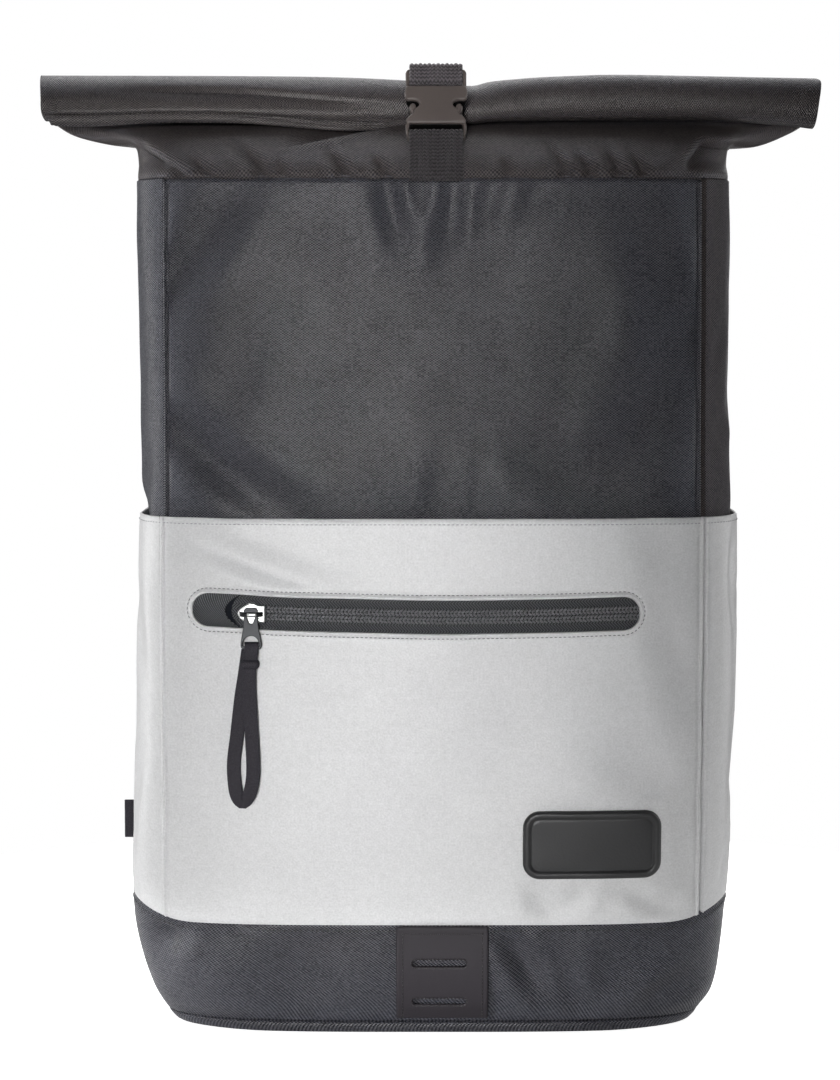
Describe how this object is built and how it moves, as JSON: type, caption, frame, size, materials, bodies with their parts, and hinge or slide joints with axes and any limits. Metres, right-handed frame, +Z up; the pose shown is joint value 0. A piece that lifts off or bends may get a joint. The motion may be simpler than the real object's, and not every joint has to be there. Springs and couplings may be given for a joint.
{
  "type": "laptop backpack",
  "caption": "Upright roll-top laptop backpack: black body, pale grey zipped front pocket and side slip pockets, rounded base, buckled rolled top and padded shoulder straps.",
  "frame": {"origin": "middle of the flat bottom face of the base floor, on the surface that the bag stands on", "axes": "+Z up, +Y towards the wearer's back, +X to the right of someone looking at the front"},
  "size_m": [0.3699, 0.1798, 0.46],
  "materials": {
    "black_cloth": "coarse plain weave, matt",
    "grey_cloth": "fine coated cloth, slight sheen",
    "base_cloth": "coarse weave, matt",
    "back_mesh": "padded spacer mesh",
    "webbing": "ribbed webbing",
    "zip_tape": "herringbone tape",
    "zip_coil": "satin",
    "bright_metal": "polished",
    "dark_metal": "dark plated",
    "badge": "matt moulded",
    "lash_patch": "matt",
    "buckle": "satin moulded"
  },
  "bodies": {
    "root": {"front_panel": "black_cloth", "gusset_left": "black_cloth", "gusset_right": "black_cloth", "collar_front": "black_cloth", "collar_back": "black_cloth", "roll": "black_cloth", "back_panel": "back_mesh", "shoulder_strap_left": "back_mesh", "shoulder_strap_right": "back_mesh", "base_band": "base_cloth", "base_floor": "base_cloth", "pocket_front": "grey_cloth", "pocket_side_left": "grey_cloth", "pocket_side_right": "grey_cloth", "zip_tape": "zip_tape", "zip_coil": "zip_coil", "zip_slider": "bright_metal", "zip_pull": "dark_metal", "pull_loop": "webbing", "side_tag": "webbing", "closure_strap_lower": "webbing", "closure_strap_upper": "webbing", "strap_webbing_left": "webbing", "strap_webbing_right": "webbing", "haul_loop": "webbing", "badge": "badge", "lash_patch": "lash_patch", "buckle_socket": "buckle", "buckle_plug": "buckle", "strap_adjuster_left": "buckle", "strap_adjuster_right": "buckle"}
  },
  "joints": []
}
